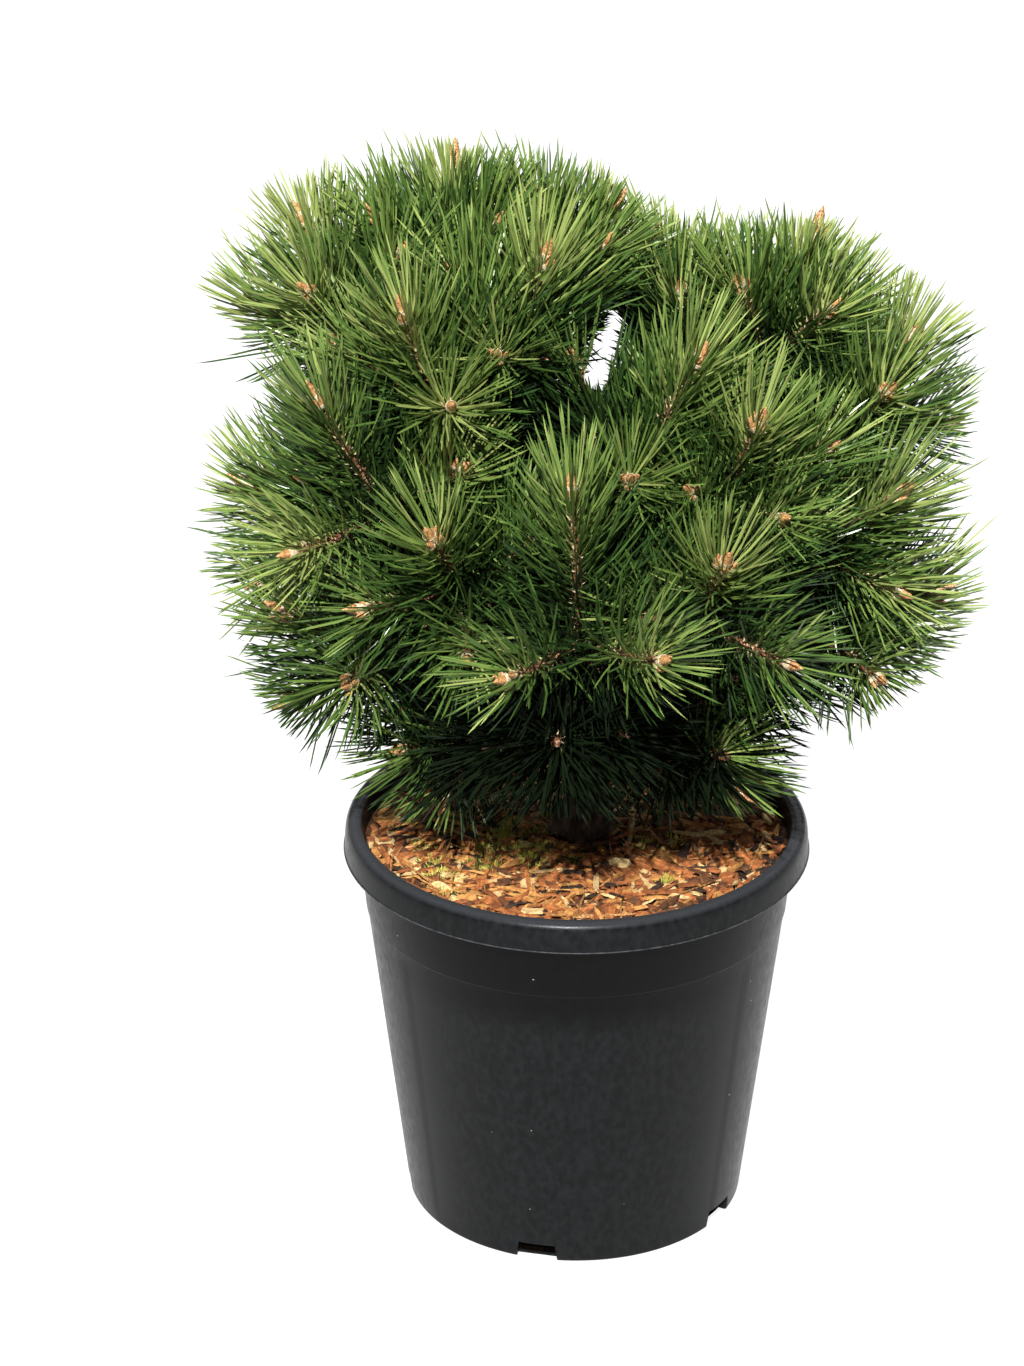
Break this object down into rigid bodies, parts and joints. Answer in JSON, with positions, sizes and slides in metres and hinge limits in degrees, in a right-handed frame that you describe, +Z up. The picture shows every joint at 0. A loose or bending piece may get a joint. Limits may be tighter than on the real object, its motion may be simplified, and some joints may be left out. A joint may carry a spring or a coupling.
{
  "type": "mugo pine in a nursery pot",
  "caption": "Bushy dwarf pine with two rounded lobes of upright needled shoots on a short forked trunk, in a round black plastic nursery pot topped with bark mulch.",
  "frame": {"origin": "centre of the pot's flat underside, where it stands on the ground", "axes": "+Z up along the pot's axis, -Y towards the viewer of the picture, +X to the viewer's right"},
  "size_m": [0.5072, 0.4721, 0.712],
  "materials": {
    "pot": "black moulded polypropylene, satin, with light dust",
    "potting_mix": "dark damp peat and bark potting mix",
    "bark_mulch": "coarse dry pine bark chips, orange to brown, with a little moss",
    "bark": "rough scaly grey-brown pine bark",
    "needles": "stiff green needles with a soft sheen, orange-brown buds at the tips"
  },
  "bodies": {
    "root": {"bark_mulch": "bark_mulch", "bough_back": "bark", "bough_back_crest": "bark", "bough_back_hem_left": "bark", "bough_back_hem_right": "bark", "bough_front": "bark", "bough_front_hem": "bark", "bough_left_back": "bark", "bough_left_brow": "bark", "bough_left_crest": "bark", "bough_left_face": "bark", "bough_left_flank": "bark", "bough_left_front": "bark", "bough_left_hem": "bark", "bough_left_inner": "bark", "bough_left_peak": "bark", "bough_left_shoulder": "bark", "bough_right_back": "bark", "bough_right_brow": "bark", "bough_right_crest": "bark", "bough_right_face": "bark", "bough_right_flank": "bark", "bough_right_front": "bark", "bough_right_hem": "bark", "bough_right_inner": "bark", "bough_right_peak": "bark", "bough_skirt_left": "bark", "bough_skirt_right": "bark", "needles_back": "needles", "needles_back_crest": "needles", "needles_back_hem_left": "needles", "needles_back_hem_right": "needles", "needles_front": "needles", "needles_front_hem": "needles", "needles_left_back": "needles", "needles_left_brow": "needles", "needles_left_crest": "needles", "needles_left_face": "needles", "needles_left_flank": "needles", "needles_left_front": "needles", "needles_left_hem": "needles", "needles_left_inner": "needles", "needles_left_peak": "needles", "needles_left_shoulder": "needles", "needles_right_back": "needles", "needles_right_brow": "needles", "needles_right_crest": "needles", "needles_right_face": "needles", "needles_right_flank": "needles", "needles_right_front": "needles", "needles_right_hem": "needles", "needles_right_inner": "needles", "needles_right_peak": "needles", "needles_skirt_left": "needles", "needles_skirt_right": "needles", "pot": "pot", "potting_mix": "potting_mix", "trunk": "bark"}
  },
  "joints": []
}
